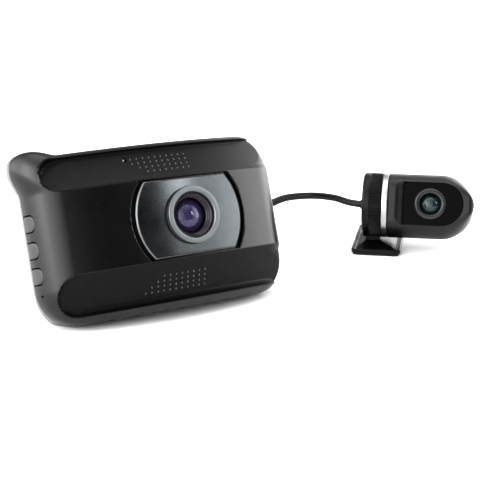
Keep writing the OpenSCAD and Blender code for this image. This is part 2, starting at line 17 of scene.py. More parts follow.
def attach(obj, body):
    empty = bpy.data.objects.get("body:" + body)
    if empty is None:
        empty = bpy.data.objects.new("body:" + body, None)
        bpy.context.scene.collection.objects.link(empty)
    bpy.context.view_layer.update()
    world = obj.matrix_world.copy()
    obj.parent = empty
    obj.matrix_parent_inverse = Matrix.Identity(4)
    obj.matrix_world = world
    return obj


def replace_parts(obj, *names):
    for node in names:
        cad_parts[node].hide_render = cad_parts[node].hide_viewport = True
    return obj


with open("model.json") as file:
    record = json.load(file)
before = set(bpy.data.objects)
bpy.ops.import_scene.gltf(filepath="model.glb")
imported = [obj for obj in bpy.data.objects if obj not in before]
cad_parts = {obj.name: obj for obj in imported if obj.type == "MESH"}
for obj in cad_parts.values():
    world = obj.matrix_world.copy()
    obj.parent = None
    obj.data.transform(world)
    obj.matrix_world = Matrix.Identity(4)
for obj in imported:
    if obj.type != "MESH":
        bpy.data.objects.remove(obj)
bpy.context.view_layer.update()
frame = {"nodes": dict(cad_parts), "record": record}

MM = 0.001

# ---- the two frames ----

MOUNTS = {m["name"]: m for m in frame["record"]["mounts"]}
JOINTS = {j["name"]: j for j in frame["record"]["behaviour"]["joints"]}

insert = MOUNTS["bracket_insert"]
INSERT_AT = Vector((-6.3, 26.8, 27))                # its place in the main unit's frame
LEAN = math.atan2(insert["axis"][1], insert["axis"][2])
UNIT = Matrix.Rotation(-LEAN, 4, "X")
UNIT.translation = Vector(insert["pos_m"]) - UNIT.to_3x3() @ (INSERT_AT * MM)

tilt = JOINTS["rear_head_tilt"]
HEAD_Z = tilt["pos_m"][2] / MM
REAR = Matrix.Rotation(math.atan2(tilt["axis"][1], tilt["axis"][0]), 4, "Z")
REAR.translation = Vector((tilt["pos_m"][0], tilt["pos_m"][1], 0))


# ---- camera ----

VIEW_YAW = math.radians(31.71)
VIEW_DROP = math.radians(14.58)
LENS_IN_VIEW = Vector((-18.74, 472.78, 9.94)) * MM   # main lens: right, ahead and above


def make_camera():
    """A 90 mm lens that looks down and across the unit, as far off as the photograph was taken."""
    to_view = (Matrix.Rotation(VIEW_DROP, 3, "X") @ Matrix.Rotation(VIEW_YAW, 3, "Z")).transposed()
    right, ahead, up = (to_view.col[i] for i in range(3))
    data = bpy.data.cameras.new("camera")
    data.lens, data.sensor_width = 90, 36
    data.clip_start, data.clip_end = 0.01, 20
    camera = bpy.data.objects.new("camera", data)
    camera.matrix_world = Matrix((right, up, -ahead)).transposed().to_4x4()
    camera.location = UNIT.translation - to_view @ LENS_IN_VIEW
    bpy.context.collection.objects.link(camera)
    bpy.context.scene.camera = camera


make_camera()


# ---- materials ----

def node_material(name):
    mat = bpy.data.materials.new(name)
    mat.use_nodes = True
    nodes = mat.node_tree.nodes
    return mat, nodes, mat.node_tree.links, nodes["Principled BSDF"]


CLOUD_MM, TINT_MM = 9, 3           # size of the patches in which roughness and colour vary
COAT_ROUGH, GLASS_ROUGH, GLASS_SMEAR = 0.12, 0.02, 0.03


def surface(name, colour, rough, metal=0.0, grain=0.0, grain_size=0.5, mottle=0.0, coat=0.0,
            rough_vary=0.06, edge_wear=0.0, specular=0.5):
    """A moulded or machined surface: its grain is grain mm deep at grain_size mm, mottle varies
    the colour, rough_vary the roughness, and edge_wear lightens it on edges."""
    mat, nodes, links, shader = node_material(name)
    shader.inputs["Metallic"].default_value = metal
    shader.inputs["Coat Weight"].default_value = coat
    shader.inputs["Coat Roughness"].default_value = COAT_ROUGH
    shader.inputs["Specular IOR Level"].default_value = specular
    place = nodes.new("ShaderNodeTexCoord")

    def noise(size_mm, detail):
        n = nodes.new("ShaderNodeTexNoise")
        n.inputs["Scale"].default_value = 1 / (size_mm * MM)
        n.inputs["Detail"].default_value = detail
        links.new(place.outputs["Object"], n.inputs["Vector"])
        return n

    def ranged(source, low, high):
        r = nodes.new("ShaderNodeMapRange")
        r.inputs["From Min"].default_value, r.inputs["From Max"].default_value = 0.3, 0.7
        r.inputs["To Min"].default_value, r.inputs["To Max"].default_value = low, high
        links.new(source, r.inputs["Value"])
        return r.outputs["Result"]

    cloud = noise(CLOUD_MM, 3)
    links.new(ranged(cloud.outputs["Fac"], max(rough - rough_vary, 0.02), rough + rough_vary),
              shader.inputs["Roughness"])
    tint = nodes.new("ShaderNodeMix")
    tint.data_type = "RGBA"
    tint.inputs["A"].default_value = (*[c * (1 - mottle) for c in colour], 1)
    tint.inputs["B"].default_value = (*[min(c * (1 + mottle) + 0.03 * mottle, 1) for c in colour], 1)
    links.new(ranged(noise(TINT_MM, 2).outputs["Fac"], 0, 1), tint.inputs["Factor"])
    out = tint.outputs["Result"]
    if edge_wear:
        geometry = nodes.new("ShaderNodeNewGeometry")
        wear = nodes.new("ShaderNodeMapRange")
        wear.inputs["From Min"].default_value, wear.inputs["From Max"].default_value = 0.53, 0.62
        wear.inputs["To Max"].default_value = edge_wear
        links.new(geometry.outputs["Pointiness"], wear.inputs["Value"])
        light = nodes.new("ShaderNodeMix")
        light.data_type = "RGBA"
        light.inputs["B"].default_value = (*[min(c * 2 + 0.08, 1) for c in colour], 1)
        links.new(wear.outputs["Result"], light.inputs["Factor"])
        links.new(out, light.inputs["A"])
        out = light.outputs["Result"]
    links.new(out, shader.inputs["Base Color"])
    if grain:
        bump = nodes.new("ShaderNodeBump")
        bump.inputs["Strength"].default_value = 0.6
        bump.inputs["Distance"].default_value = grain * MM
        links.new(noise(grain_size, 2).outputs["Fac"], bump.inputs["Height"])
        links.new(bump.outputs["Normal"], shader.inputs["Normal"])
    return mat


def glass(name, colour, coat=0.6, through=0.75):
    """Lens glass: mostly clear, with a faintly coloured reflecting coating."""
    mat, nodes, links, shader = node_material(name)
    shader.inputs["Transmission Weight"].default_value = through
    shader.inputs["IOR"].default_value = 1.5
    shader.inputs["Coat Weight"].default_value = coat
    shader.inputs["Coat Tint"].default_value = (*colour, 1)
    place = nodes.new("ShaderNodeTexCoord")
    cloud = nodes.new("ShaderNodeTexNoise")
    cloud.inputs["Scale"].default_value = 300
    links.new(place.outputs["Object"], cloud.inputs["Vector"])
    smear = nodes.new("ShaderNodeMapRange")
    smear.inputs["To Min"].default_value = GLASS_ROUGH
    smear.inputs["To Max"].default_value = GLASS_ROUGH + GLASS_SMEAR
    links.new(cloud.outputs["Fac"], smear.inputs["Value"])
    links.new(smear.outputs["Result"], shader.inputs["Roughness"])
    shade = nodes.new("ShaderNodeMix")
    shade.data_type = "RGBA"
    shade.inputs["A"].default_value = (*colour, 1)
    shade.inputs["B"].default_value = (*[c * 0.85 for c in colour], 1)
    links.new(cloud.outputs["Fac"], shade.inputs["Factor"])
    links.new(shade.outputs["Result"], shader.inputs["Base Color"])
    return mat


COVER = surface("cover_plastic", (0.0035, 0.0035, 0.0037), 0.28, grain=0.01, grain_size=0.35, mottle=0.04,
                rough_vary=0.01)
SCOOP = surface("scoop_plastic", (0.003, 0.003, 0.003), 0.38, grain=0.02, grain_size=0.3, mottle=0.04,
                specular=0.2, rough_vary=0.02)
HOUSING = surface("housing_plastic", (0.14, 0.143, 0.149), 0.33, metal=0.3, grain=0.008, grain_size=0.25,
                  mottle=0.03)
BUTTON = surface("button_plastic", (0.035, 0.035, 0.037), 0.38, grain=0.015, grain_size=0.3, mottle=0.06)
PLATE = surface("plate_metal", (0.085, 0.091, 0.095), 0.2, metal=0.9, grain=0.004, grain_size=0.3,
                mottle=0.05, rough_vary=0.03)
EDGE = surface("bright_edge", (0.13, 0.134, 0.138), 0.34, metal=1.0, grain=0.002, grain_size=0.4,
               rough_vary=0.04)
COLLAR = surface("collar_metal", (0.15, 0.16, 0.165), 0.38, metal=0.85, grain=0.004, grain_size=0.2,
                 rough_vary=0.04)
LENS_BLACK = surface("lens_black", (0.008, 0.008, 0.009), 0.5, grain=0.01, grain_size=0.15)
BLACK = surface("black_plastic", (0.003, 0.003, 0.0032), 0.34, grain=0.015, grain_size=0.3, mottle=0.06,
                specular=0.25)
REAR_HEAD = surface("rear_head_plastic", (0.006, 0.006, 0.007), 0.36, grain=0.018, grain_size=0.3,
                    mottle=0.08, specular=0.4)
SILVER = surface("silver_metal", (0.36, 0.365, 0.37), 0.3, metal=0.95, grain=0.01, grain_size=0.35,
                 rough_vary=0.05, mottle=0.04)
SCREEN = surface("screen_glass", (0.006, 0.006, 0.008), 0.07, grain=0.001, grain_size=4, coat=0.8,
                 rough_vary=0.02)
WINDOW = surface("rear_gloss_black", (0.001, 0.001, 0.0012), 0.08, grain=0.001, grain_size=4, rough_vary=0.02,
                 specular=0.08)
DISPLAY = surface("display", (0.012, 0.015, 0.022), 0.2, mottle=0.1)
JACKET = surface("lead_jacket", (0.005, 0.005, 0.0052), 0.2, grain=0.01, grain_size=0.8, mottle=0.06,
                 specular=0.35)
# The grille cloth's light grey is partly its own colour and partly painted highlight: it stands in for the
# light that the holes' rims catch.
CLOTH_WITH_PAINTED_HIGHLIGHT = surface("mesh_cloth", (0.13, 0.13, 0.13), 0.7, grain=0.1, grain_size=0.2)
STEEL = surface("steel", (0.55, 0.55, 0.56), 0.3, metal=1.0, grain=0.004, grain_size=0.3)
SCREW = surface("screw_steel", (0.09, 0.09, 0.1), 0.32, metal=0.9, grain=0.004, grain_size=0.2, edge_wear=0.3)
BRASS = surface("brass", (0.72, 0.55, 0.25), 0.25, metal=1.0, grain=0.005, grain_size=0.3, mottle=0.05)
BOARD = surface("circuit_board", (0.012, 0.09, 0.045), 0.4, grain=0.03, grain_size=0.8, mottle=0.25)
FOIL = surface("battery_foil", (0.62, 0.63, 0.65), 0.35, metal=0.8, grain=0.03, grain_size=1.5)
FOAM = surface("foam_pad", (0.03, 0.03, 0.032), 0.85, grain=0.08, grain_size=0.4, mottle=0.2)
BEZEL = surface("lens_bezel", (0.035, 0.037, 0.038), 0.22, metal=0.5, grain=0.002, grain_size=0.3)
LED = surface("led_lens", (0.34, 0.33, 0.4), 0.2, coat=0.5, mottle=0.05)
VIOLET_GLASS = glass("violet_coated_glass", (0.26, 0.23, 0.42))
THROAT = surface("lens_throat", (0.013, 0.008, 0.0125), 0.28, grain=0.005, grain_size=0.15, rough_vary=0.03)
IRIS = surface("coated_element", (0.03, 0.03, 0.06), 0.1, metal=0.8, mottle=0.1, rough_vary=0.04)
TEAL_GLASS = glass("teal_coated_glass", (0.1, 0.17, 0.185), coat=0.0, through=0.9)


# ---- mesh helpers; points are in millimetres in a unit's frame ----

def add(name, bm, place, body, mats, sharp=35, merge=0.002):
    """Turns a bmesh into a piece in the row frame that rides on a body."""
    if merge:
        bmesh.ops.remove_doubles(bm, verts=bm.verts, dist=merge)
    bmesh.ops.dissolve_degenerate(bm, edges=bm.edges, dist=merge or 1e-4)
    bmesh.ops.recalc_face_normals(bm, faces=bm.faces)
    mesh = bpy.data.meshes.new(name)
    bm.to_mesh(mesh)
    bm.free()
    mesh.transform(place @ Matrix.Scale(MM, 4))
    for mat in mats:
        mesh.materials.append(mat)
    mesh.shade_smooth()
    mesh.set_sharp_from_angle(angle=math.radians(sharp))
    piece = bpy.data.objects.new(name, mesh)
    bpy.context.collection.objects.link(piece)
    if body:
        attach(piece, body)
    return piece


def sheet_of(bm, grid):
    """Adds a grid of points, rows x columns x 3, as quads."""
    rows = [[bm.verts.new(p) for p in row] for row in grid]
    for a, b in zip(rows, rows[1:]):
        for i in range(len(a) - 1):
            bm.faces.new((a[i], a[i + 1], b[i + 1], b[i]))


X, Y, Z = Vector((1, 0, 0)), Vector((0, 1, 0)), Vector((0, 0, 1))
TURNING = {"x": (X, Y, Z), "y": (Y, X, Z), "z": (Z, X, Y)}    # an axis and the two directions across it


def turned(bm, profile, centre, axis, segments=96):
    """Adds a solid of revolution: profile is [(along, radius), ...] round an axis through centre."""
    along, side, up = TURNING[axis]
    centre = Vector(centre)
    rings = []
    for h, r in profile:
        if r == 0:
            rings.append([bm.verts.new(centre + along * h)])
            continue
        rings.append([bm.verts.new(centre + along * h + (side * math.cos(t) + up * math.sin(t)) * float(r))
                      for t in (2 * math.pi * k / segments for k in range(segments))])
    for a, b in zip(rings, rings[1:]):
        for k in range(segments):
            n = (k + 1) % segments
            corners = [a[k % len(a)], a[n % len(a)], b[n % len(b)], b[k % len(b)]]
            bm.faces.new(list(dict.fromkeys(corners)))


def rod(bm, r, low, high, centre, axis, segments):
    """Adds a round bar from low to high along an axis through centre."""
    turned(bm, [(low, 0), (low, r), (high, r), (high, 0)], centre, axis, segments)


def rounded_edge(points, radius, steps=4):
    """A profile with its corners rounded off by radius, apart from its two ends."""
    out = [Vector(points[0])]
    for before, corner, after in zip(points, points[1:], points[2:]):
        corner = Vector(corner)
        a, b = Vector(before) - corner, Vector(after) - corner
        reach = min(radius, a.length * 0.45, b.length * 0.45)
        start, end = corner + a.normalized() * reach, corner + b.normalized() * reach
        for i in range(steps + 1):
            t = i / steps
            out.append(start.lerp(corner, t).lerp(corner.lerp(end, t), t))
    return [tuple(p) for p in out + [Vector(points[-1])]]


def spun(name, points, centre, axis, place, body, mats, radius=0.25, segments=96):
    """A turned piece with soft edges."""
    bm = bmesh.new()
    turned(bm, rounded_edge(points, radius), centre, axis, segments)
    return add(name, bm, place, body, mats)


def prism(bm, outline, lay, low, high):
    """Adds an outline of 2D points pulled from low to high; lay turns (a, b, h) into a point."""
    bottom = [bm.verts.new(lay(a, b, low)) for a, b in outline]
    top = [bm.verts.new(lay(a, b, high)) for a, b in outline]
    bm.faces.new(bottom)
    bm.faces.new(top[::-1])
    for k in range(len(outline)):
        n = (k + 1) % len(outline)
        bm.faces.new((bottom[k], top[k], top[n], bottom[n]))


def along_y(a, b, h):
    return (a, h, b)


def along_z(a, b, h):
    return (a, b, h)


def arc(cx, cy, r, start, end, steps):
    return [(cx + r * math.cos(math.radians(start + (end - start) * i / steps)),
             cy + r * math.sin(math.radians(start + (end - start) * i / steps))) for i in range(steps + 1)]


def round_rect(x0, y0, x1, y1, r, steps=8):
    return (arc(x1 - r, y1 - r, r, 0, 90, steps) + arc(x0 + r, y1 - r, r, 90, 180, steps)
            + arc(x0 + r, y0 + r, r, 180, 270, steps) + arc(x1 - r, y0 + r, r, 270, 360, steps))


def bevelled(piece, width):
    """Rounds a piece's edges, width in millimetres, and applies it."""
    mod = piece.modifiers.new("bevel", "BEVEL")
    mod.width, mod.segments, mod.limit_method = width * MM, 3, "ANGLE"
    mod.angle_limit = math.radians(30)
    mod.harden_normals = True
    apply_modifiers(piece)
    return piece


def apply_modifiers(piece):
    done = piece.evaluated_get(bpy.context.evaluated_depsgraph_get())
    mesh = bpy.data.meshes.new_from_object(done)
    piece.modifiers.clear()
    piece.data = mesh


CUT_SHARP = 50


def cut(piece, cutter_bm, place):
    """Takes a closed bmesh away from a piece, and marks the new edges."""
    cutter = add("cutter", cutter_bm, place, None, [], merge=0)
    mod = piece.modifiers.new("cut", "BOOLEAN")
    mod.operation, mod.solver, mod.object = "DIFFERENCE", "EXACT", cutter
    bpy.context.view_layer.update()
    apply_modifiers(piece)
    piece.data.set_sharp_from_angle(angle=math.radians(CUT_SHARP))
    bpy.data.objects.remove(cutter)


def repaint(mat, *names):
    """Gives CAD nodes that keep their own shape a material."""
    for name in names:
        piece = frame["nodes"][name]
        piece.data.materials.clear()
        piece.data.materials.append(mat)


# ---- the lead ----

LEAD_D = 3.4
RUN = [(126.4, 34, 21), (122.3, 37.9, 21.7), (117.2, 42, 23.6), (109.6, 45.6, 24.9), (101, 47.2, 25.5),
       (92, 47.8, 25.4), (84, 47.6, 23.6), (77.5, 47, 19.8), (72.5, 46.2, 14.5), (67.5, 45.5, 8.5),
       (61.5, 44.9, 4.2), (54, 44.6, 2.2), (45, 44.7, 1.8), (37, 45, 1.8), (29, 45.2, 1.8)]
TAIL = [(46.6, 62.6, 19), (44.6, 56.4, 19.5), (42, 50.3, 20.4), (40, 43.6, 21.7), (39.3, 37.2, 23.5)]
COIL_AT = (16, 78)
COIL_MEAN_R, COIL_COLUMNS, COIL_LAYERS = 24, 6, 6
COIL_FLOOR_GAP = 0.1
TURN_STEPS = 24
STEP_OVER = 0.22          # part of a turn in which the lead moves to the next place


def coil_place(turn):
    """Column and layer of a turn: the columns run inwards and outwards in alternate layers."""
    layer, n = divmod(min(turn, COIL_COLUMNS * COIL_LAYERS - 1), COIL_COLUMNS)
    return (COIL_COLUMNS - 1 - n if layer % 2 == 0 else n), layer


def coil_points():
    """The coil's turns, clockwise from the front, ending at the right on the outside of the top layer."""
    points = []
    turns = COIL_COLUMNS * COIL_LAYERS - 0.25
    for i in range(int(turns * TURN_STEPS) + 1):
        turn, part = divmod(i / TURN_STEPS, 1)
        ease = max(0, (part - 1 + STEP_OVER) / STEP_OVER)
        ease = ease * ease * (3 - 2 * ease)
        (c0, l0), (c1, l1) = coil_place(int(turn)), coil_place(int(turn) + 1)
        column, layer = c0 + (c1 - c0) * ease, l0 + (l1 - l0) * ease
        r = COIL_MEAN_R + (column - (COIL_COLUMNS - 1) / 2) * LEAD_D
        angle = math.radians(270 - 360 * part)
        points.append(Vector((COIL_AT[0] + r * math.cos(angle), COIL_AT[1] + r * math.sin(angle),
                              COIL_FLOOR_GAP + LEAD_D * (layer + 0.5))))
    return points


def smooth_path(points, steps=6):
    """A rounded path through the points."""
    p = [Vector(q) for q in points]
    p = [2 * p[0] - p[1]] + p + [2 * p[-1] - p[-2]]
    out = []
    for a, b, c, d in zip(p, p[1:], p[2:], p[3:]):
        for s in (i / steps for i in range(steps)):
            out.append(0.5 * (2 * b + (c - a) * s + (2 * a - 5 * b + 4 * c - d) * s * s
                              + (3 * b - a - 3 * c + d) * s ** 3))
    return out + [p[-2]]


def make_lead(fittings):
    coil = coil_points()
    start = smooth_path(RUN + [tuple(coil[0])])[:-1]
    end = smooth_path([tuple(coil[-1])] + TAIL)[1:]
    points = [p * MM for p in start + coil + end]
    curve = bpy.data.curves.new("lead", "CURVE")
    curve.dimensions = "3D"
    curve.bevel_depth = LEAD_D / 2 * MM
    curve.bevel_resolution = 4
    curve.use_fill_caps = True
    line = curve.splines.new("POLY")
    line.points.add(len(points) - 1)
    for target, p in zip(line.points, points):
        target.co = (*p, 1)
    line.use_smooth = True
    lead = bpy.data.objects.new("lead", curve)
    bpy.context.collection.objects.link(lead)
    curve.materials.append(JACKET)
    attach(lead, "main_unit")
    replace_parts(lead, "lead_run", "lead_coil", "lead_tail")


# ---- main unit shells: outlines drawn from the front, depth as a function of place ----

LEFT, RIGHT, LOW, HIGH = -61.3, 48.7, -35.5, 31
MID_X, HALF_W = -6.3, 55
CORNER, BOSS = 15, 7.2             # corner radius, and how far the upper left corner bulges past it
SPLIT, SEAM = 21.8, 0.15           # parting plane, and half the gap at it
BARREL_R, CHEEK_R = 150, 16
BAND_TOP, BAND_LOW = HIGH - CORNER, -16.2
SCOOPS = [(-57, BAND_TOP, RIGHT + 20, 29.6, 6.2), (-57, -32.6, RIGHT + 20, BAND_LOW, 8.1)]
SCOOP_DEPTH, SCOOP_WALL, LIP_ROUND = 7.2, 6.0, 1.1
SHELL = 1.8
BACK_Y, BACK_EDGE, BACK_SIDE = 33, 3.5, 10.8
CHEEK_FROM = 43.66                 # distance from the middle at which the cheek takes over
TOP_ROUND, TOP_FALL = 14, 10       # how wide and how deep the top and bottom edges are rounded
SCOOP_BACK = 16                    # no face behind this depth has the scoops' material
SCOOP_RIM = 1.6                    # least depth of a scoop where the edge has fallen away under it
LENS_SEAT_R, LENS_SEAT, COVER_WALL = 28, 4.2, 2.0


def barrel(x):
    """Depth of the curved front band."""
    return BARREL_R - np.sqrt(BARREL_R ** 2 - (x - MID_X) ** 2)


def quarter(d, width, depth):
    """How far a rounded edge has fallen away at distance d in from it."""
    return depth * (1 - np.sqrt(1 - np.clip(1 - d / width, 0, 1) ** 2))


def edge_place(x, z):
    """Distance in from the outline, and how much of the way outwards there is sideways."""
    vx = x - np.clip(x, LEFT + CORNER, RIGHT - CORNER)
    vz = z - np.clip(z, LOW + CORNER, HIGH - CORNER)
    out = np.maximum(np.hypot(vx, vz), 1e-9)
    reach = corner_reach(np.arctan2(vz, vx))
    return CORNER * np.maximum(1 - out / reach, 0), (vx / out) ** 2


def corner_reach(turn):
    """Radius of the outline's corners in the direction turn, with the boss at the upper left."""
    boss = BOSS * np.cos(2 * (turn - 0.75 * math.pi)) ** 2
    return CORNER + np.where((turn > 0.5 * math.pi) & (turn < math.pi), boss, 0)


def scoop_inset(x, z, scoop):
    """Distance inside a scoop's rounded outline, negative outside it."""
    x0, z0, x1, z1, r = scoop
    qx = np.abs(x - (x0 + x1) / 2) - (x1 - x0) / 2 + r
    qz = np.abs(z - (z0 + z1) / 2) - (z1 - z0) / 2 + r
    return r - np.hypot(np.maximum(qx, 0), np.maximum(qz, 0)) - np.minimum(np.maximum(qx, qz), 0)


def front_y(x, z):
    """Depth of the front cover's outside."""
    d, share = edge_place(x, z)
    dx = np.minimum(HALF_W - d, HALF_W)
    side = SPLIT - np.sqrt(np.maximum(CHEEK_R ** 2 - (dx - HALF_W + CHEEK_R) ** 2, 0))
    middle = BARREL_R - np.sqrt(BARREL_R ** 2 - dx ** 2)
    cheek = np.where(dx > CHEEK_FROM, side - middle, 0)
    fall = share * cheek + (1 - share) * quarter(d, TOP_ROUND, TOP_FALL)
    y = barrel(x) + fall
    for scoop in SCOOPS:
        inset = scoop_inset(x, z, scoop)
        height = scoop[3] - scoop[1]
        t = np.clip((z - scoop[1] if scoop[1] > 0 else scoop[3] - z) / height, 0, 1)
        slope = SCOOP_DEPTH * (1.3 * t - 0.3 * t ** 2)
        hollow = np.maximum(slope - fall, np.minimum(slope, SCOOP_RIM))
        lip = np.clip(inset / LIP_ROUND, 0, 1)
        wall = SCOOP_DEPTH * (1 - (1 - np.clip(inset / SCOOP_WALL, 0, 1)) ** 1.6) * lip ** 2 * (3 - 2 * lip)
        y = y + np.where(inset > 0, np.minimum(hollow, wall), 0)
    return np.minimum(y, SPLIT - 0.6)


def front_inner_y(x, z):
    """Depth of the front cover's inside, which is thicker round the lens."""
    wall = np.where(np.hypot(x, z) < LENS_SEAT_R, LENS_SEAT, COVER_WALL)
    return np.minimum(front_y(x, z) + wall, SPLIT - 0.5)


def back_y(x, z):
    """Depth of the rear housing's outside, cut off below by the flat that the unit rests on."""
    d, share = edge_place(x, z)
    fall = share * quarter(d, BACK_SIDE, BACK_Y - SPLIT) + (1 - share) * quarter(d, BACK_EDGE, BACK_EDGE)
    rest = SPLIT + (z - LOW) / math.tan(LEAN)
    return np.clip(np.minimum(BACK_Y - fall, rest), SPLIT + SEAM + 0.4, BACK_Y)


def back_inner_y(x, z):
    """Depth of the rear housing's inside."""
    return np.maximum(back_y(x, z) - SHELL, SPLIT + SEAM + 0.2)


FACE_COLUMNS, LOWER_ROWS, BAND_ROWS, EDGE_ROWS, CORNER_STEPS = 150, 9, 62, 40, 57


def shell_patches(inset, depth, wall, rim):
    """Grids of points over the whole outline drawn in by inset: depth(x, z) on the face, then rows
    down the wall to each y in wall, then a last row drawn in to rim."""
    xs = np.linspace(LEFT + CORNER, RIGHT - CORNER, FACE_COLUMNS)
    zs = np.concatenate([np.linspace(LOW + CORNER, BAND_LOW, LOWER_ROWS),
                         np.linspace(BAND_LOW, BAND_TOP, BAND_ROWS)[1:]])
    steps = np.linspace(0, 1, EDGE_ROWS)
    levels = 0.45 * steps + 0.55 * np.sin(steps * math.pi / 2)     # closer together at the rim
    x, z = np.meshgrid(xs, zs)
    grids = [np.stack([x, depth(x, z), z], -1)]

    def edge_grid(start_x, start_z, turn):
        """A grid from the middle face outwards in the direction turn, and on down the wall."""
        reach = corner_reach(turn)
        rows = []
        for level in levels:
            x = start_x + level * (reach - inset) * np.cos(turn)
            z = start_z + level * (reach - inset) * np.sin(turn)
            rows.append(np.stack([x, depth(x, z), z], -1))
        for y in wall:
            row = rows[-1].copy()
            row[:, 1] = y
            rows.append(row)
        x = start_x + (reach - rim) * np.cos(turn)
        z = start_z + (reach - rim) * np.sin(turn)
        rows.append(np.stack([x, np.full_like(x, wall[-1]), z], -1))
        return np.array(rows)

    right, left, top, low = RIGHT - CORNER, LEFT + CORNER, HIGH - CORNER, LOW + CORNER
    grids.append(edge_grid(np.full_like(zs, right), zs, np.zeros_like(zs)))
    grids.append(edge_grid(np.full_like(zs, left), zs, np.full_like(zs, math.pi)))
    grids.append(edge_grid(xs, np.full_like(xs, top), np.full_like(xs, 0.5 * math.pi)))
    grids.append(edge_grid(xs, np.full_like(xs, low), np.full_like(xs, -0.5 * math.pi)))
    for x, z, start in ((right, top, 0), (left, top, 0.5), (left, low, -1), (right, low, -0.5)):
        turn = np.linspace(start, start + 0.5, CORNER_STEPS) * math.pi
        grids.append(edge_grid(np.full_like(turn, x), np.full_like(turn, z), turn))
    return grids


def shell(name, outer, inner, edge_y, mats, sharp):
    """A closed shell between two faces, with its rim at edge_y, open towards the parting plane."""
    bm = bmesh.new()
    near_rim = edge_y + math.copysign(0.2, edge_y - SPLIT)
    for grid in shell_patches(0, outer, [near_rim, edge_y], SHELL):
        sheet_of(bm, grid)
    for grid in shell_patches(SHELL, inner, [edge_y], SHELL):
        sheet_of(bm, grid)
    return add(name, bm, UNIT, "main_unit", mats, sharp)


# ---- openings in the shells ----

def loft(bm, loops, closed=False):
    """Adds the solid through equal loops of points, capped at its ends unless it closes on itself."""
    rings = [[bm.verts.new(p) for p in loop] for loop in loops]
    if not closed:
        bm.faces.new(rings[0])
        bm.faces.new(rings[-1])
    for a, b in zip(rings, rings[1:] + (rings[:1] if closed else [])):
        for k in range(len(a)):
            n = (k + 1) % len(a)
            bm.faces.new((a[k], a[n], b[n], b[k]))


PLATE_R, PLATE_HALF, PLATE_T = 24, 15.3, 1.9
GROOVE_W, PLATE_GAP, PLATE_SUNK = 1.7, 0.4, 2.1     # groove at the plate's round ends, gap above, depth
LENS_AT, COLLAR_R, LENS_OPEN_R = (0, 0, 0), 11.3, 9
ROUND_FLARE, FLAT_FLARE = 0.35, 0.15      # how much wider the recess is where it meets the front


def recess_cutter(bm, r, half, depth):
    """A disc of radius r with straight top and bottom at half height, its floor bent like the barrel
    front at depth below it, and flared where it meets the front."""
    loops = []
    for turn in np.radians(np.linspace(-88.5, 88.5, 60)):
        x, h = r * math.sin(turn), min(half, r * math.cos(turn))
        wide_x = (r + ROUND_FLARE) * math.sin(turn)
        wide_h = min(half + FLAT_FLARE, (r + ROUND_FLARE) * math.cos(turn))
        wide_y, y = float(barrel(wide_x)), float(barrel(x))
        low = [(wide_x, -6, -wide_h), (wide_x, wide_y, -wide_h), (x, y + ROUND_FLARE, -h), (x, y + depth, -h)]
        loops.append(low + [(x, y, -z) for x, y, z in reversed(low)])
    loft(bm, loops)


GRILLE_PITCH, GRILLE_ROW, HOLE_R = 2.6, 1.9, 0.5
GRILLE_RIGHT, GRILLE_Z = 3.5, 19.3        # where the rows start at the right, and the first row's height
GRILLES = [(1, 0), (-1, 2.5)]             # above or below the band, and how far it is moved down
LED_AT, LED_HOLE_R = (-22.5, 25.0), 0.9
PINHOLE_AT, PINHOLE_R = (17.1, -22.1), 0.5


def grille_holes():
    """The places of the grille holes, in rows that grow away from the band, clear of the LED."""
    for side, moved in GRILLES:
        for row in range(4):
            for column in range(8 + row):
                x = GRILLE_RIGHT - GRILLE_PITCH * column
                z = side * (GRILLE_Z + GRILLE_ROW * row) - moved
                if side < 0 or math.dist((x, z), LED_AT) > 1:
                    yield x, z


BUTTON_H, BUTTON_FRONT, BUTTON_R, BUTTON_SOFT = 6.2, 15.3, 2.4, 0.7
BUTTON_GAP, BUTTON_ROWS, BUTTON_COLUMNS = 0.4, 23, 12
BUTTONS = {"upper": 5.9, "middle": -4.4, "lower": -14.4}


def button_solid(bm, middle_z, grow, outer, inner, back, edge=0.0):
    """A key on the left flank, round at its front corners, between two insets from the cheek, and
    rounded by edge at its rim."""
    loops = []
    half = BUTTON_H / 2 + grow
    for z in np.sin(np.linspace(-1, 1, BUTTON_ROWS) * math.pi / 2) * half:
        into = max(abs(z) - half + BUTTON_R, 0)
        start = BUTTON_FRONT - grow + BUTTON_R - math.sqrt(BUTTON_R ** 2 - into ** 2)
        soft = edge * (1 - math.sqrt(1 - max(1 - (half - abs(z)) / BUTTON_SOFT, 0) ** 2))
        ys = np.linspace(start, back, BUTTON_COLUMNS)
        r = CHEEK_R - outer - soft - np.array([edge, edge * 0.3] + [0] * (BUTTON_COLUMNS - 2))
        drop = np.sqrt(np.maximum(r ** 2 - np.minimum(SPLIT - ys, r) ** 2, 0))
        deep = np.sqrt(np.maximum((CHEEK_R - inner) ** 2 - (SPLIT - ys) ** 2, 0))
        centre = LEFT + CHEEK_R
        loops.append([(centre - d, y, middle_z + z) for d, y in zip(drop, ys)]
                     + [(centre - d, y, middle_z + z) for d, y in zip(deep[::-1], ys[::-1])])
    loft(bm, loops)


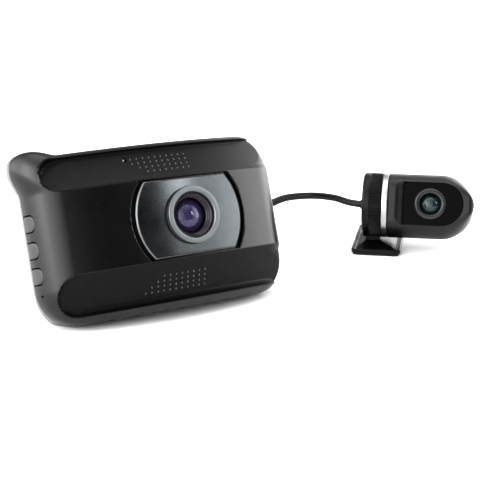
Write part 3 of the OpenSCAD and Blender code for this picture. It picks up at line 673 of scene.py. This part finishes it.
def make_cover():
    """The front cover: its holes are cut before the lens bore, which crosses the plate's recess."""
    cover = shell("cover_shell", front_y, front_inner_y, SPLIT - SEAM, [COVER, SCOOP], 50)
    holes = bmesh.new()
    recess_cutter(holes, PLATE_R + GROOVE_W, PLATE_HALF + PLATE_GAP, PLATE_SUNK)
    for x, z in grille_holes():
        rod(holes, HOLE_R, -1, 14, (x, 0, z), "y", 12)
    rod(holes, LED_HOLE_R, -1, 14, (LED_AT[0], 0, LED_AT[1]), "y", 20)
    rod(holes, PINHOLE_R, 0, 6, (LEFT - 2, *PINHOLE_AT), "x", 16)
    for z in BUTTONS.values():
        button_solid(holes, z, BUTTON_GAP, -3, 3, SPLIT + 1)
    cut(cover, holes, UNIT)
    bore = bmesh.new()
    rod(bore, COLLAR_R + 0.3, -5, 12, LENS_AT, "y", 96)
    cut(cover, bore, UNIT)
    to_unit = UNIT.inverted()
    for face in cover.data.polygons:
        at = to_unit @ face.center / MM
        in_scoop = any(scoop_inset(at.x, at.z, scoop) > 0 for scoop in SCOOPS) and at.y < SCOOP_BACK
        face.material_index = 1 if in_scoop else 0
    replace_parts(cover, "front_cover")


def make_grille_pads():
    """The cloth that shows at the bottom of each grille hole, lightened by painted highlight so that the holes
    show as light dots.
    """
    for name, side in (("grille_mesh_upper", 1), ("grille_mesh_lower", -1)):
        pads = bmesh.new()
        for x, z in grille_holes():
            if z * side > 0:
                y = float(front_y(np.array(x), np.array(z)))
                turned(pads, [(0.25, 0), (0.35, HOLE_R), (1.9, HOLE_R), (1.9, 0)], (x, y, z), "y", 12)
        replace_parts(add(f"{name}_pads", pads, UNIT, "main_unit", [CLOTH_WITH_PAINTED_HIGHLIGHT]), name)


SCREEN_MIDDLE, SCREEN_SIZE, SCREEN_VIEW = (-12, -1), (76, 46), (64, 37)
SOCKET_X, CARD_X, USB_X, POWER_X, TOP_Y = 33, 22, -22, -40, 27
SOCKET_R, INSERT_R, POWER_R, SCREW_R = 3.6, 3.5, 2.7, 2
SCREW_PLACES = [(x, z) for x in (LEFT + 8, RIGHT - 8) for z in (LOW + 8, HIGH - 8)]


def middle_rect(middle, size, r):
    """A round-cornered rectangle of a size about its middle."""
    half_w, half_h = size[0] / 2, size[1] / 2
    return round_rect(middle[0] - half_w, middle[1] - half_h, middle[0] + half_w, middle[1] + half_h, r)


def box(bm, x0, y0, z0, x1, y1, z1):
    prism(bm, [(x0, z0), (x1, z0), (x1, z1), (x0, z1)], along_y, y0, y1)


def make_housing():
    """The rear housing with the window's ledge, sockets, slot and screw holes."""
    housing = shell("housing_shell", back_y, back_inner_y, SPLIT + SEAM, [HOUSING], 50)
    holes = bmesh.new()
    prism(holes, middle_rect(SCREEN_MIDDLE, SCREEN_SIZE, 2), along_y, BACK_Y - 1.2, BACK_Y + 3)
    rod(holes, SOCKET_R, -5, 3, (SOCKET_X, BACK_Y, 0), "y", 48)
    rod(holes, INSERT_R, -6, 6, (INSERT_AT.x, TOP_Y - 0.2, HIGH), "z", 48)
    rod(holes, POWER_R, -6, 6, (POWER_X, TOP_Y, HIGH), "z", 48)
    box(holes, CARD_X - 5.8, 23.2, 25, CARD_X + 5.8, 24.8, 34)
    prism(holes, round_rect(USB_X - 4.1, 22.6, USB_X + 4.1, 26.8, 0.8), along_z, 24, 34)
    for x, z in SCREW_PLACES:
        rod(holes, SCREW_R, -1.6, 3, (x, BACK_Y, z), "y", 32)
    cut(housing, holes, UNIT)
    opening = bmesh.new()
    prism(opening, middle_rect(SCREEN_MIDDLE, SCREEN_VIEW, 1), along_y, BACK_Y - 5, BACK_Y + 3)
    cut(housing, opening, UNIT)
    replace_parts(housing, "rear_housing")


# ---- lens plate, collar and lens ----

def disc_contour(r, half, arc_steps=28, line_steps=24):
    """The outline of a disc with straight top and bottom, as (x, z) points."""
    turn = math.asin(half / r)
    right = [(r * math.cos(t), r * math.sin(t)) for t in np.linspace(-turn, turn, arc_steps)]
    reach = r * math.cos(turn)
    top = [(x, half) for x in np.linspace(reach, -reach, line_steps)[1:-1]]
    return right + top + [(-x, -z) for x, z in right + top]


def dome(name, r, front, back, sphere_r, centre, place, body, mat):
    """A lens with a ball-shaped front, its rim at radius r."""
    profile = [(front + sphere_r - math.sqrt(sphere_r ** 2 - q ** 2), q) for q in np.linspace(0, r, 20)]
    bm = bmesh.new()
    turned(bm, profile + [(back, r), (back, 0)], centre, "y", 72)
    return add(name, bm, place, body, [mat])


RIM_W, RIM_CUT, RIM_GAP, PLATE_SOFT = 0.5, 0.4, 0.05, 0.12


def plate_loop(turn):
    """The lens plate's section from the collar's bore to its rim, along one radius."""
    inset = RIM_W + RIM_GAP
    outer = min(PLATE_R - inset, (PLATE_HALF - inset) / max(abs(math.sin(turn)), 1e-9))
    inner = COLLAR_R + 0.15
    section = [(r, 0) for r in np.linspace(inner, outer - PLATE_SOFT, 7)]
    section += [(outer, PLATE_SOFT), (outer, PLATE_T), (inner, PLATE_T)]
    points = []
    for r, y in section:
        x, z = r * math.cos(turn), r * math.sin(turn)
        points.append((x, float(barrel(x)) + y, z))
    return points


def make_plate():
    """The curved lens plate, and the bright rim round it with its outer corner cut off."""
    bm = bmesh.new()
    loft(bm, [plate_loop(turn) for turn in np.linspace(0, 2 * math.pi, 721)[:-1]], closed=True)
    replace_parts(add("plate_face", bm, UNIT, "main_unit", [PLATE]), "lens_plate")

    bm = bmesh.new()
    loops = []
    outside = disc_contour(PLATE_R, PLATE_HALF)
    inside = disc_contour(PLATE_R - RIM_W, PLATE_HALF - RIM_W)
    for (xo, zo), (xi, zi) in zip(outside, inside):
        yo, yi = float(barrel(xo)), float(barrel(xi))
        loops.append([(xi, yi, zi), (xo, yo + RIM_CUT, zo), (xo, yo + PLATE_T, zo), (xi, yi + PLATE_T, zi)])
    loft(bm, loops, closed=True)
    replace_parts(add("plate_edge", bm, UNIT, "main_unit", [EDGE]), "plate_rim")


def make_lens():
    """The collar, the stepped throat with its two lenses, and the status light."""
    collar = [(5.95, LENS_OPEN_R), (-1.7, LENS_OPEN_R), (-2.2, LENS_OPEN_R + 0.45), (-2.2, COLLAR_R - 0.25),
              (-1.95, COLLAR_R), (5.0, COLLAR_R), (5.0, COLLAR_R + 2), (5.95, COLLAR_R + 2),
              (5.95, LENS_OPEN_R)]
    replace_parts(spun("collar_ring", collar, LENS_AT, "y", UNIT, "main_unit", [COLLAR], 0.12), "lens_collar")
    throat = [(15, 3), (12.4, 3), (12.4, 5.3), (4.4, 5.3), (4.4, 6.9), (1.6, 6.9), (1.2, 7.3), (0.9, 7.3),
              (0.5, 7.9), (0.1, 7.9), (-0.4, 8.5), (-0.8, 8.6), (-0.8, 8.85), (15, 8.85), (15, 3)]
    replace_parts(spun("lens_throat", throat, LENS_AT, "y", UNIT, "main_unit", [THROAT], 0.08), "lens_barrel")
    front = dome("front_element", 6.85, 0, 4.3, 9, LENS_AT, UNIT, "main_unit", VIOLET_GLASS)
    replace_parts(front, "front_lens")
    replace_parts(dome("second_element", 5.25, 5.2, 9, 6.4, LENS_AT, UNIT, "main_unit", IRIS), "second_lens")
    light = [(7, 0), (7.05, 0.5), (7.4, 0.8), (14, 0.8), (14, 0)]
    led = spun("led_dome", light, (LED_AT[0], 0, LED_AT[1]), "y", UNIT, "main_unit", [LED], 0.05, 32)
    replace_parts(led, "status_led")


def make_buttons():
    for name, z in BUTTONS.items():
        bm = bmesh.new()
        button_solid(bm, z, 0, 0, 2.4, SPLIT - SEAM, edge=0.45)
        key = add(f"key_{name}", bm, UNIT, f"button_{name}", [BUTTON], 50)
        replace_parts(key, f"side_button_{name}")


# ---- back of the main unit ----

def make_screen():
    bm = bmesh.new()
    size = [side - 0.2 for side in SCREEN_SIZE]
    prism(bm, middle_rect(SCREEN_MIDDLE, size, 1.9), along_y, BACK_Y - 1.15, BACK_Y - 0.1)
    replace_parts(bevelled(add("screen_glass", bm, UNIT, "main_unit", [SCREEN]), 0.15), "screen_window")


def make_power_key():
    key = spun("power_key_cap", [(-2.6, 0), (-2.6, 2.5), (0.4, 2.5), (0.4, 1.7), (0.2, 1.1), (0.2, 0)],
               (POWER_X, TOP_Y, HIGH), "z", UNIT, "power_key", [HOUSING], 0.3, 48)
    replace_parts(key, "power_button")


def make_plug():
    """The lead's plug in its socket and the ribbed relief behind it; returns both."""
    at = (SOCKET_X, BACK_Y, 0)
    body = [(0.3, 0), (0.3, 3.6), (0.6, 4), (2.4, 4), (2.6, 3.7), (3.0, 3.7), (3.2, 4), (12.2, 4),
            (13.3, 3.4), (14.3, 3.3), (14.3, 0)]
    plug = spun("plug_body", body, at, "y", UNIT, "main_unit", [BLACK], 0.3, 48)
    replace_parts(plug, "lead_plug")
    relief = [(14.3, 0), (14.3, 3)]
    for rib in range(6):
        y, r = 14.7 + rib * 1.1, 3 - 0.15 * rib
        relief += [(y, r), (y + 0.15, r - 0.5), (y + 0.65, r - 0.55), (y + 0.8, r - 0.12)]
    relief += [(21.3, LEAD_D / 2 + 0.25), (21.3, 0)]
    sleeve = spun("plug_relief", relief, at, "y", UNIT, "main_unit", [BLACK], 0.1, 48)
    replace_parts(sleeve, "lead_strain_relief")
    return [plug, sleeve]


# ---- rear camera ----

HEAD_TILT = math.radians(20)
HEAD = REAR @ Matrix.Translation((0, 0, HEAD_Z * MM)) @ Matrix.Rotation(-HEAD_TILT, 4, "X")
RING_X = [-7.3, 1.9, 4.8]          # where the clamp ring, the silver ring and the head start
HEAD_R, HEAD_END, HEAD_FACE = 15.3, 44.8, 12.2
HEAD_ROUND_X = HEAD_END - HEAD_R
HEAD_SOFT = 22                     # how tightly the face turns into the round sides
HEAD_SCREWS = [(x, side * z) for x, z in ((RING_X[2] + 5, 8.5), (HEAD_END - 8.6, 7.6)) for side in (1, -1)]
RECESS_HALF, RECESS_FLOOR, RECESS_LEFT = 10.1, -9.8, 12.3
EYE_AT, EYE_BORE_R = (24.5, 0, 0), 6.2


def head_loop(x, steps=120):
    """The head's section at x: round, with a flattened face, and drawn in towards its far end."""
    u = max((x - HEAD_ROUND_X) / HEAD_R, 0)
    tall, deep = math.sqrt(max(1 - u ** 2, 0)), max(1 - u ** 4, 0) ** 0.25
    face = HEAD_FACE - float(quarter(np.array(HEAD_END - x), 2.6, 2.6))
    start = float(quarter(np.array(x - RING_X[2]), 0.4, 0.4))
    loop = []
    for k in range(steps):
        turn = 2 * math.pi * k / steps
        towards = math.cos(turn)
        r = ((HEAD_R - start) ** -HEAD_SOFT + (max(towards, 0) / face) ** HEAD_SOFT) ** (-1 / HEAD_SOFT)
        loop.append((x, -r * towards * (1 if towards > 0 else deep), r * math.sin(turn) * tall))
    return loop


def recess_loop(y, left, half):
    """The half-round-ended outline of the window recess at depth y."""
    outline = (arc(left + 2, half - 2, 2, 180, 90, 8) + arc(HEAD_ROUND_X, 0, half, 90, -90, 40)
               + arc(left + 2, 2 - half, 2, -90, -180, 8))
    return [(x, y, z) for x, z in outline]


def make_head():
    """The head's shell with its window recess, screw holes, seam and lens bore."""
    bm = bmesh.new()
    start = [RING_X[2] + t for t in (0, 0.06, 0.15, 0.28, 0.4)]
    end = [HEAD_ROUND_X + (HEAD_R - 0.004) * math.sin(t) for t in np.linspace(0, math.pi / 2, 34)]
    loft(bm, [head_loop(x) for x in start + list(np.linspace(6, HEAD_ROUND_X, 16))[:-1] + end])
    head = add("head_shell", bm, HEAD, "rear_head", [REAR_HEAD], 40)
    recess = bmesh.new()
    slope = [(-14, 8.6, 0.5), (-12.5, 8.6, 0.45), (-12.1, 9.0, 0.3), (-11.5, 9.8, 0.15), (-10.8, 10.9, 0.08),
             (-10.2, 11.7, 0.03), (RECESS_FLOOR, RECESS_LEFT, 0)]
    loft(recess, [recess_loop(y, left, RECESS_HALF + wide) for y, left, wide in slope])
    for x, z in HEAD_SCREWS:
        rod(recess, 1.6, -7, 3, (x, 13, z), "y", 32)
    cut(head, recess, HEAD)
    inside = bmesh.new()
    box(inside, -1, 0.93, -20, 60, 1.07, 20)
    rod(inside, EYE_BORE_R, -10.5, 0.5, EYE_AT, "y", 64)
    cut(head, inside, HEAD)
    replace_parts(head, "head_front", "head_back")


def make_window():
    bm = bmesh.new()
    loft(bm, [recess_loop(y, RECESS_LEFT + 0.1, RECESS_HALF - 0.1) for y in (RECESS_FLOOR - 1, RECESS_FLOOR)])
    window = add("window_glass", bm, HEAD, "rear_head", [WINDOW])
    bore = bmesh.new()
    rod(bore, EYE_BORE_R - 0.05, -20, 0, EYE_AT, "y", 64)
    cut(window, bore, HEAD)
    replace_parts(window, "rear_window")


def make_eye():
    """The rear camera's bezel, stepped barrel and lens."""
    bezel = [(-10.85, 6.2), (-10.85, 7.6), (-11.3, 7.55), (-11.9, 7.2), (-12.3, 6.7), (-12.4, 6.3),
             (-12.25, 6.2), (-10.85, 6.2)]
    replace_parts(spun("eye_bezel", bezel, EYE_AT, "y", HEAD, "rear_head", [BEZEL], 0.15, 72), "rear_lens_ring")
    throat = [(-1.2, 3), (-8.2, 3), (-8.2, 5), (-11.4, 5), (-11.9, 5.5), (-12.1, 6.1), (-1.2, 6.1), (-1.2, 3)]
    eye_barrel = spun("eye_barrel", throat, EYE_AT, "y", HEAD, "rear_head", [BEZEL], 0.1, 72)
    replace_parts(eye_barrel, "rear_lens_barrel")
    glass_dome = dome("eye_glass", 4.95, -11.8, -8.3, 6, EYE_AT, HEAD, "rear_head", TEAL_GLASS)
    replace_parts(glass_dome, "rear_lens_glass")


RIBS, RIB_DEPTH = 90, 0.4
RIB_SECTION = (0, 0, 0.35, 1, 1, 0.35)     # depth round one rib, as a part of RIB_DEPTH


def make_rings():
    """The clamp ring, with a smooth cap and a ribbed grip, and the silver ring beside it."""
    bm = bmesh.new()
    axis = (0, 0, HEAD_Z)
    cap = [(RING_X[0] + 3.6, 0), (RING_X[0] + 3.6, HEAD_R - 0.25), (RING_X[0] + 3.4, HEAD_R),
           (RING_X[0] + 0.9, HEAD_R), (RING_X[0], HEAD_R - 0.9), (RING_X[0], 0)]
    turned(bm, rounded_edge(cap, 0.4), axis, "x", 128)
    loops = []
    for x, drop in ((RING_X[0] + 3.55, 0), (RING_X[1] - 0.5, 0), (RING_X[1] - 0.2, 0.3)):
        loop = []
        steps = RIBS * len(RIB_SECTION)
        for k in range(steps):
            r = HEAD_R - drop - RIB_DEPTH * RIB_SECTION[k % len(RIB_SECTION)]
            turn = 2 * math.pi * k / steps
            loop.append((x, r * math.cos(turn), HEAD_Z + r * math.sin(turn)))
        loops.append(loop)
    loft(bm, loops)
    ring = add("grip_ring", bm, REAR, "main_unit", [BLACK])
    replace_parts(ring, "clamp_ring")
    low, high = RING_X[1] + 0.05, RING_X[2] - 0.25
    band = [(low, 0), (low, HEAD_R), (high, HEAD_R), (high, 0)]
    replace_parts(spun("bright_band", band, axis, "x", REAR, "rear_head", [SILVER], 0.25, 128), "silver_ring")


FOOT = (-11.5, -16.5, 11.5, 34)    # left, front, right and back edges
NECK = (-5.8, -6, 1.3, 8)


def make_foot():
    """The foot: a flat margin with a raised edge, and a roof that climbs to the neck."""

    def level(inset, z, t=0.0, r=2.5):      # t of the way from the foot's outline to the neck's
        sides = [a + (b - a) * t for a, b in zip(FOOT, NECK)]
        x0, y0, x1, y1 = sides[0] + inset, sides[1] + inset, sides[2] - inset, sides[3] - inset
        return [(x, y, z) for x, y in round_rect(x0, y0, x1, y1, r)]

    raised_edge = ((0.3, 0.8), (0, 1.1), (0, 2.6), (0.2, 2.9), (0.5, 3.0), (0.9, 2.9))
    loops = [level(inset, z) for inset, z in raised_edge]
    loops += [level(1.2, 2.3, r=1.6), level(2.0, 2.2, r=1.4), level(2.3, 2.6, r=1.4)]
    loops.append(level(2.3, 2.9, 0.1, 1.4))
    loops += [level(1.0, 2.9 + 2.1 * t, t, 1.2) for t in (0.35, 0.6, 0.8)]
    loops += [level(0, 5.1, 1, 1.2), level(0, 8, 1, 1.2)]
    bm = bmesh.new()
    loft(bm, loops)
    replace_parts(add("foot_body", bm, REAR, "main_unit", [BLACK], 30), "rear_foot")


def make_tie():
    """The strap round the coil's section, on its far side."""
    inner_r, outer_r = COIL_MEAN_R - 3 * LEAD_D, COIL_MEAN_R + 3 * LEAD_D
    top = COIL_LAYERS * LEAD_D
    outside = round_rect(inner_r - 1.4, 0, outer_r + 1.4, top + 1.4, 1.6)
    inside = round_rect(inner_r - 0.4, 0.1, outer_r + 0.4, top + 0.3, 0.7)
    bm = bmesh.new()
    sections = []
    for (a, b), (c, d) in zip(outside, inside):
        middle = ((a + c) / 2, (b + d) / 2)
        sections.append([(-2.6, a, b), (-3, *middle), (-2.6, c, d), (2.6, c, d), (3, *middle), (2.6, a, b)])
    loft(bm, sections, closed=True)
    place = Matrix.Translation((COIL_AT[0] * MM, COIL_AT[1] * MM, 0))
    strap = add("coil_strap", bm, place, "main_unit", [BLACK])
    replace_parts(strap, "coil_tie")
    return strap


make_cover()
make_grille_pads()
make_housing()
make_plate()
make_lens()
make_buttons()
make_screen()
make_power_key()
plug_pieces = make_plug()
make_head()
make_window()
make_eye()
make_rings()
make_foot()
make_lead(plug_pieces + [make_tie()])

repaint(DISPLAY, "lcd_panel")
repaint(LENS_BLACK, "lens_holder", "speaker", "microphone", "video_socket")
repaint(BOARD, "sensor_board", "main_board", "button_board", "rear_sensor_board")
repaint(FOIL, "battery")
repaint(STEEL, "card_socket", "usb_socket")
repaint(BLACK, "memory_card", "lead_gland", "swivel_shaft")
repaint(BRASS, "mount_insert", "plug_pin")
repaint(SCREW, "housing_screws", "head_screws")
repaint(FOAM, "adhesive_pad")


# ---- floor and light ----

FLOOR_REACH = 30000
DARK = 0.01
WALLS = [("X", -0.1, -0.9, 4.0), ("X", 0.46, 0.9, 4.4), ("Y", 0.3, 0.9, 0.5), ("Z", 0.6, 0.95, 1.6)]


def make_stage():
    bm = bmesh.new()
    sheet_of(bm, [[(x, y, 0) for x in (-FLOOR_REACH, -800, 800, FLOOR_REACH)]
                  for y in (-FLOOR_REACH, -500, 500, FLOOR_REACH)])
    paper = surface("floor_paper", (0.9, 0.9, 0.9), 0.7, grain=0.02, grain_size=0.6, mottle=0.01)
    add("floor", bm, Matrix(), None, [paper])


def area_light(name, at, aim, width, height, power):
    data = bpy.data.lights.new(name, "AREA")
    data.shape, data.size, data.size_y, data.energy = "RECTANGLE", width, height, power
    light = bpy.data.objects.new(name, data)
    light.location = at
    light.rotation_euler = (Vector(aim) - Vector(at)).to_track_quat("-Z", "Y").to_euler()
    bpy.context.collection.objects.link(light)


def make_world():
    """A studio that is dark in front and bright at the sides, behind and overhead: each wall is an
    axis of the direction, where it starts and is full, and its strength."""
    world = bpy.data.worlds.new("studio")
    bpy.context.scene.world = world
    world.use_nodes = True
    nodes, links = world.node_tree.nodes, world.node_tree.links
    place = nodes.new("ShaderNodeTexCoord")
    split = nodes.new("ShaderNodeSeparateXYZ")
    links.new(place.outputs["Generated"], split.inputs["Vector"])
    total = None
    for axis, start, full, strength in WALLS:
        shade = nodes.new("ShaderNodeMapRange")
        shade.inputs["From Min"].default_value, shade.inputs["From Max"].default_value = start, full
        shade.inputs["To Min"].default_value, shade.inputs["To Max"].default_value = DARK, strength
        links.new(split.outputs[axis], shade.inputs["Value"])
        if total is None:
            total = shade.outputs["Result"]
            continue
        brightest = nodes.new("ShaderNodeMath")
        brightest.operation = "MAXIMUM"
        links.new(total, brightest.inputs[0])
        links.new(shade.outputs["Result"], brightest.inputs[1])
        total = brightest.outputs["Value"]
    links.new(total, nodes["Background"].inputs["Strength"])
    nodes["Background"].inputs["Color"].default_value = (1, 1, 1, 1)


make_stage()
make_world()
area_light("left_box", (-0.8, -0.1, 0.4), (0, 0, 0.04), 0.4, 0.6, 1.5)
area_light("right_box", (0.5, -0.8, 0.5), (0.05, 0, 0.04), 0.2, 0.3, 1)
area_light("top_box", (0.1, 0.1, 1.1), (0.05, 0, 0.03), 1.0, 0.8, 2)
bpy.context.scene.view_settings.view_transform = "Standard"
bpy.context.scene.view_settings.look = "High Contrast"
